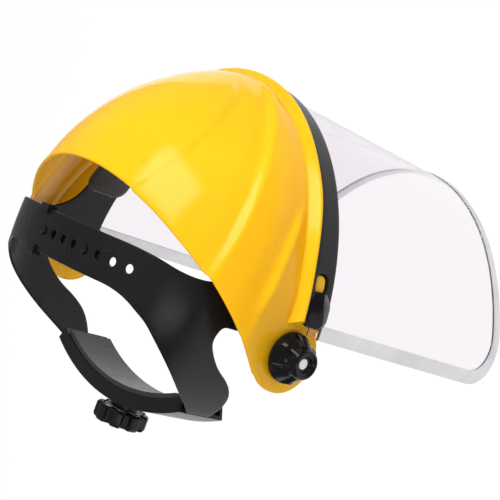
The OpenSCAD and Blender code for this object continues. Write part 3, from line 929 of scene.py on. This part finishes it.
def sweatband():
    """Padded band inside the forehead band: a thin start shape that the cloth solver inflates."""
    columns, rows = PAD_COLUMNS, PAD_ROWS
    rings, pinned = [], []
    for i, a in enumerate(spread(-PAD_HALF, PAD_HALF, columns)):
        cell = (a + PAD_HALF) / (2 * PAD_HALF) * PAD_CELLS
        seam = abs(cell - round(cell)) < 0.03
        low_z, high_z = PAD_LOW + pad_corner(a), PAD_TOP - pad_corner(a)
        ring = []
        for j, z in enumerate(spread(low_z, high_z, rows)):
            hem = min(z - low_z, high_z - z)
            at_end = i in (0, columns)
            deep = 0.7 if at_end else 1.1 + 1.2 * smooth(0, PAD_HEM, hem) * (0.25 if seam else 1)
            ring.append(pad_point(a, z, deep))
            if hem < PAD_HEM * 0.8 or at_end or seam:
                pinned.append(i * 2 * (rows + 1) + j)
        for j, z in enumerate(spread(high_z, low_z, rows)):
            ring.append(pad_point(a, z, 0))
            pinned.append(i * 2 * (rows + 1) + rows + 1 + j)
        rings.append(ring)
    obj = sweep("sweatband_pad", rings, PAD)
    inflate(obj, pinned)
    attach(obj, "headgear", "sweat_pad", "sweatband")
    hem_stitches()


def inflate(obj, pinned):
    """Cloth solver with inside pressure and no gravity, held at the hem and seams, then fixed in place."""
    start = [v.co.copy() for v in obj.data.vertices]
    group = obj.vertex_groups.new(name="pinned")
    group.add(pinned, 1, "REPLACE")
    cloth = obj.modifiers.new("cloth", "CLOTH")
    cloth.settings.quality = 4
    cloth.settings.mass = 0.1
    cloth.settings.tension_stiffness = cloth.settings.compression_stiffness = 6
    cloth.settings.bending_stiffness = 0.3
    cloth.settings.use_pressure = True
    cloth.settings.uniform_pressure_force = 9
    cloth.settings.vertex_group_mass = "pinned"
    cloth.settings.effector_weights.gravity = 0
    scene = bpy.context.scene
    for frame_number in range(1, CLOTH_FRAMES + 1):
        scene.frame_set(frame_number)
    view = obj.evaluated_get(bpy.context.evaluated_depsgraph_get())
    moved = [v.co.copy() for v in view.data.vertices]
    obj.modifiers.remove(cloth)
    scene.frame_set(1)
    for vertex, a, b in zip(obj.data.vertices, start, moved):
        step = b - a
        vertex.co = a + step * min(1, PUFF * MM / max(step.length, 1e-9))
    obj.data.update()


STITCHES, STITCH_R, STITCH_HALF_A, STITCH_DEEP = 56, 0.28, 0.75, 1.75


def hem_stitches():
    """Two rows of thread along the pad's hems; each stitch is a short bead with pointed ends."""
    steps, sides = 6, 6
    verts, faces = [], []
    for z in (PAD_LOW + 1.9, PAD_TOP - 1.9):
        for a in spread(-PAD_HALF + 5, PAD_HALF - 5, STITCHES - 1):
            base = len(verts)
            for t in spread(-1, 1, steps):
                high = STITCH_R * math.sqrt(max(0.05, 1 - t * t))
                for turn in spread(0, 360, sides)[:-1]:
                    deep = STITCH_DEEP + high * sind(turn)
                    verts.append(pad_point(a + t * STITCH_HALF_A, z + high * cosd(turn), deep))
            faces += [tuple(base + v for v in f) for f in ring_faces(steps + 1, sides)]
            faces.append(tuple(base + v for v in reversed(range(sides))))
            faces.append(tuple(base + steps * sides + v for v in range(sides)))
    obj = new_object("sweatband_stitches", verts, faces, PAD)
    attach(obj, "headgear", "sweat_pad")


# ---- side knobs ----

WINGS, FLANGE_R = 6, 14.9
POINTER_A, POINTER_REACH = 262, 2.2


def knob_place(side):
    return lambda u, v, h: Vector((side * (KNOB_X + h), u, v))


def wing(a, r, h):
    """Radius of the ribbed skirt: ribs no wider than the flange, and a small pointer on the flange's foot."""
    near = abs((a + 180 / WINGS) % (360 / WINGS) - 180 / WINGS) * math.radians(1) * 11
    reach = lerp(3.0, 2.1, smooth(5, 12, h)) * smooth(1.5, 5, h) * (1 - smooth(12.6, 13.2, h))
    ribbed = r + reach * (1 - smooth(1.0, 1.9, near)) * smooth(7, 8.6, r)
    tip = POINTER_REACH * (1 - smooth(2, 5, abs(a - POINTER_A)))
    return min(ribbed, max(r, FLANGE_R)) + tip * (1 - smooth(1.41, 1.49, h)) * smooth(14, 15, r)


def knob(side, name):
    profile = rounded([(0, 0), (14.5, 0), (15, 0.5), (15, 1.4), (15, 1.5), (15, 2.2), (14.4, 2.9),
                       (10.9, 8.6), (9.3, 10.2), (9.0, 14.2), (7.9, 15.9), (6.6, 15.9), (6.1, 14.9),
                       (4.9, 14.7), (4.4, 13.4), (3.1, 13.2), (3.1, 10.8), (0, 10.8)], 0.6, 4)
    obj = lathe(name + "_knob_ribbed", [(p.x, p.y) for p in profile], knob_place(side), GLOSS, 240, wing)
    attach(obj, name + "_knob", "black_gloss", name + "_knob_grip")


# ---- rear adjuster ----

def cross_screw(name, centre, out, radius, depth, body, *nodes):
    """Pan-head screw with a cross recess; centre is the middle of its outer face."""
    side = out.cross(Vector((0, 0, 1))).normalized()
    up = side.cross(out)

    def cross(a, r, h):
        arm = 0.16 * radius / max(0.02, min(abs(sind(a)), abs(cosd(a))))
        return min(r, arm) if r < radius * 0.6 and h < -0.05 else r

    profile = [(0, -depth), (radius, -depth), (radius, -0.75), (radius * 0.92, -0.35), (radius * 0.78, -0.12),
               (radius * 0.62, 0), (radius * 0.58, -0.1), (radius * 0.5, -0.95), (0, -0.95)]
    obj = lathe(name, profile, lambda u, v, h: centre + side * u + up * v + out * h, STEEL, 96, cross)
    attach(obj, body, "steel", *nodes)


def screws():
    for s, side in ((-1, "right"), (1, "left")):
        out = Vector((s * sind(SCREW_A), cosd(SCREW_A), 0))
        centre = Vector((0, HOUSING_Y, 0)) + out * (HOUSING_R - 0.3)
        nodes = ["cover_screws"] if s < 0 else []
        cross_screw(side + "_cover_screw", centre, out, 2.8, 3, "headgear", *nodes)
    centre = Vector((0, DIAL_Y + 7, 0))
    cross_screw("dial_centre_screw", centre, Vector((0, 1, 0)), 3, 5, "adjuster", "dial_screw")


DIAL_LOBES = 8


def dial_lobe(a, r, h):
    """Radius of the dial's scalloped rim."""
    wave = 0.5 + 0.5 * math.cos(math.radians(a * DIAL_LOBES))
    dip = 3.4 * (1 - smooth(0.12, 0.62, wave))
    return r - dip * smooth(11, 14, r)


def dial():
    profile = rounded([(0, 0.6), (6.4, 0.6), (6.4, 2.4), (13, 2.4), (13.6, 0), (16.4, 0), (17.5, 1.2),
                       (17.5, 8.8), (16.2, 10.6), (12.4, 11), (10.6, 9.6), (5.4, 9.6), (4.8, 11), (4, 11),
                       (4, 5.6), (0, 5.6)], 0.7, 4)
    obj = lathe("adjuster_dial_lobed", [(p.x, p.y) for p in profile],
                lambda u, v, h: Vector((u, DIAL_Y + h, v)), BLACK, 240, dial_lobe)
    attach(obj, "adjuster", "black_harness", "adjuster_dial")


# ---- stage, light and camera ----

def camera():
    """Seen from the wearer's right and above, with the camera turned so that the front points up."""
    azimuth, elevation, roll = -88.5, 41.95, -70.45
    target, distance, lens_mm = Vector((-1.9, -45.9, -52.6)) * MM, 721.6 * MM, 77.26
    back = Vector((sind(azimuth) * cosd(elevation), -cosd(azimuth) * cosd(elevation), sind(elevation)))
    data = bpy.data.cameras.new("camera")
    data.lens = lens_mm
    obj = bpy.data.objects.new("camera", data)
    bpy.context.scene.collection.objects.link(obj)
    obj.location = target + back * distance
    obj.rotation_mode = "QUATERNION"
    obj.rotation_quaternion = (-back).to_track_quat("-Z", "Y") @ Quaternion((0, 0, 1), math.radians(roll))
    bpy.context.scene.camera = obj


LIGHT_AIM = Vector((0, -40, 20)) * MM
FLOOR_Z, FLOOR_HALF, BACKDROP_R = -750, 2600, 7000


def area_light(name, direction, distance, width, height, power, glossy=True):
    """Rectangular light; sizes are in metres, and glossy says whether reflections show it."""
    data = bpy.data.lights.new(name, "AREA")
    data.shape = "RECTANGLE"
    data.size, data.size_y = width, height
    data.energy = power
    obj = bpy.data.objects.new(name, data)
    bpy.context.scene.collection.objects.link(obj)
    obj.visible_glossy = glossy
    towards = Vector(direction).normalized()
    obj.location = LIGHT_AIM + towards * distance
    obj.rotation_mode = "QUATERNION"
    obj.rotation_quaternion = towards.to_track_quat("Z", "Y")


def floor_white():
    made, tree, shader = material("floor_white", Roughness=0.9)
    vary_colour(tree, shader, object_noise(tree, 0.7), (0.11, 0.11, 0.11), (0.13, 0.13, 0.13))
    shader.inputs["Emission Color"].default_value = (1, 1, 1, 1)
    shader.inputs["Emission Strength"].default_value = 0.93
    return made


def stage():
    world = bpy.data.worlds.new("studio")
    world.use_nodes = True
    background = world.node_tree.nodes["Background"]
    background.inputs["Color"].default_value = (1, 1, 1, 1)
    background.inputs["Strength"].default_value = 0.26
    bpy.context.scene.world = world
    bpy.context.scene.view_settings.view_transform = "Standard"
    area_light("softbox", (-0.06, -0.66, 0.75), 1.3, 0.8, 0.46, 6)
    area_light("key", (-0.1, -0.6, 0.78), 1.5, 0.9, 0.9, 17, glossy=False)
    area_light("top_fill", (-0.25, 0.45, 0.85), 1.7, 1.1, 0.8, 8, glossy=False)
    area_light("strip_box", (-0.86, 0.28, 0.42), 1.5, 0.35, 1.0, 3)
    made, half = floor_white(), FLOOR_HALF
    corners = [(-half, -half, FLOOR_Z), (half, -half, FLOOR_Z), (half, half, FLOOR_Z), (-half, half, FLOOR_Z)]
    floor = new_object("floor", corners, [(0, 1, 2, 3)], made)
    profile = [(BACKDROP_R * sind(t), BACKDROP_R * cosd(t)) for t in spread(0, 180, 24)]
    backdrop = lathe("backdrop", profile, lambda u, v, h: Vector((u, v, h)), made, 48)
    backdrop.visible_glossy = backdrop.visible_diffuse = backdrop.visible_shadow = False


# ---- CAD nodes that keep their shape ----

KEPT = {
    BLACK: ["right_pivot_lug", "left_pivot_lug", "right_spacer", "left_spacer", "adjuster_base",
            "adjuster_cover", "right_rack", "left_rack"],
    LINING: ["nape_pad"],
    STEEL: ["right_pivot_bolt", "left_pivot_bolt", "right_washer", "left_washer"],
    BRASS: ["right_knob_nut", "left_knob_nut"],
    NYLON: ["drive_pinion", "pawl_disc"],
}


def dress_cad():
    """Gives each CAD node that shows its material, and rounds its edges a little."""
    for finish, names in KEPT.items():
        for name in names:
            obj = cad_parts[name]
            obj.data.materials.clear()
            obj.data.materials.append(finish)
            soften(obj, 0.3)


camera()
stage()
dress_cad()
crown()
visor_sheet()
edge_binding()
retaining_band()
harness()
strap_details()
guide_clips()
sweatband()
dial()
screws()
for knob_side, knob_name in ((-1, "right"), (1, "left")):
    knob(knob_side, knob_name)
